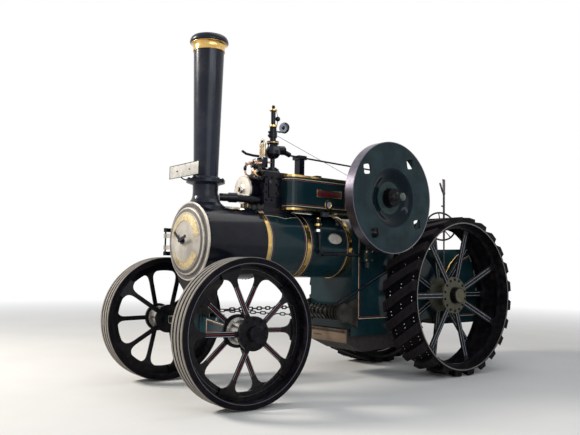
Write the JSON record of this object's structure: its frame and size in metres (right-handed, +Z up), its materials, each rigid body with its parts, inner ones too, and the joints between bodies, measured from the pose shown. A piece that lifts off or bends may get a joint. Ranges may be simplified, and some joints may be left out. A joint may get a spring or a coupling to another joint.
{
  "type": "steam traction engine",
  "caption": "Single-cylinder general-purpose steam traction engine with spoked wheels, rubber-lugged hind wheels, disc flywheel, tall chimney, chain steering and an open driver's stand.",
  "frame": {"origin": "on the ground, in the middle of the engine's length and width", "axes": "+X forward to the chimney, +Y to the engine's left, where the flywheel is, +Z up"},
  "size_m": [5.269, 2.1776, 3.56],
  "materials": {
    "boiler_green": "gloss",
    "engine_black": "gloss",
    "wheel_black": "satin",
    "bright_steel": "polished",
    "gear_steel": "oiled",
    "polished_brass": "polished",
    "tyre_rubber": "matt",
    "gauge_grey": "satin"
  },
  "bodies": {
    "engine": {"smokebox": "engine_black", "smokebox_ring": "bright_steel", "door_hinge": "engine_black", "chimney_base": "engine_black", "chimney_tube": "engine_black", "chimney_band": "polished_brass", "chimney_cap": "engine_black", "boiler_barrel": "boiler_green", "boiler_bands": "polished_brass", "firebox": "boiler_green", "ashpan": "engine_black", "hornplate_left": "boiler_green", "hornplate_right": "boiler_green", "crank_bearings": "boiler_green", "motion_tray": "boiler_green", "cylinder_block": "engine_black", "cylinder_cover": "bright_steel", "guide_bars": "bright_steel", "connecting_rod": "bright_steel", "valve_stack": "engine_black", "whistle": "polished_brass", "pressure_gauge": "gauge_grey", "lubricator": "polished_brass", "exhaust_pipe": "engine_black", "regulator_rod": "engine_black", "clack_valve": "engine_black", "feed_pump": "boiler_green", "second_shaft": "gear_steel", "third_shaft": "gear_steel", "final_gear": "gear_steel", "hind_axle": "bright_steel", "tender": "boiler_green", "footplate": "engine_black", "drawbar": "engine_black", "reversing_lever": "bright_steel", "steering_drum": "engine_black", "steering_chains": "gear_steel", "steering_column": "engine_black", "perch_bracket": "engine_black"},
    "front_axle": {"front_axle": "engine_black"},
    "front_wheel_left": {"front_wheel_left": "wheel_black", "front_tyre_left": "tyre_rubber"},
    "front_wheel_right": {"front_wheel_right": "wheel_black", "front_tyre_right": "tyre_rubber"},
    "hind_wheel_left": {"hind_wheel_left": "wheel_black", "hind_lugs_left": "tyre_rubber"},
    "hind_wheel_right": {"hind_wheel_right": "wheel_black", "hind_lugs_right": "tyre_rubber"},
    "crankshaft": {"crankshaft": "bright_steel", "flywheel": "boiler_green"},
    "smokebox_door": {"smokebox_door": "bright_steel", "door_dart": "engine_black"},
    "firehole_door": {"firehole_door": "engine_black"},
    "tank_lid": {"tank_lid": "engine_black"}
  },
  "joints": [
    {"name": "front_steer", "type": "hinge", "parent": "engine", "child": "front_axle", "pos_m": [1.91845, 0, 0.66], "axis": [0, 0, 1], "range_deg": [-24.6, 31.4]},
    {"name": "front_wheel_left_spin", "type": "hinge", "parent": "front_axle", "child": "front_wheel_left", "pos_m": [1.96957, 0.86048, 0.66], "axis": [0.0593, 0.9982, 0], "continuous": true},
    {"name": "front_wheel_right_spin", "type": "hinge", "parent": "front_axle", "child": "front_wheel_right", "pos_m": [1.86733, -0.86048, 0.66], "axis": [0.0593, 0.9982, 0], "continuous": true},
    {"name": "hind_wheel_left_spin", "type": "hinge", "parent": "engine", "child": "hind_wheel_left", "pos_m": [-1.15455, 0.647, 0.929], "axis": [0, 1, 0], "continuous": true},
    {"name": "hind_wheel_right_spin", "type": "hinge", "parent": "engine", "child": "hind_wheel_right", "pos_m": [-1.15455, -0.647, 0.929], "axis": [0, 1, 0], "continuous": true},
    {"name": "crankshaft_spin", "type": "hinge", "parent": "engine", "child": "crankshaft", "pos_m": [0.03045, 0, 2.001], "axis": [0, 1, 0], "continuous": true},
    {"name": "smokebox_door_hinge", "type": "hinge", "parent": "engine", "child": "smokebox_door", "pos_m": [2.10045, -0.418, 1.473], "axis": [0, 0, -1], "range_deg": [0, 95]},
    {"name": "firehole_door_hinge", "type": "hinge", "parent": "engine", "child": "firehole_door", "pos_m": [-0.84885, 0.195, 1.13], "axis": [0, 0, -1], "range_deg": [0, 105]},
    {"name": "tank_lid_hinge", "type": "hinge", "parent": "engine", "child": "tank_lid", "pos_m": [-2.38355, 0, 1.0593], "axis": [0, -1, 0], "range_deg": [0, 95]}
  ]
}
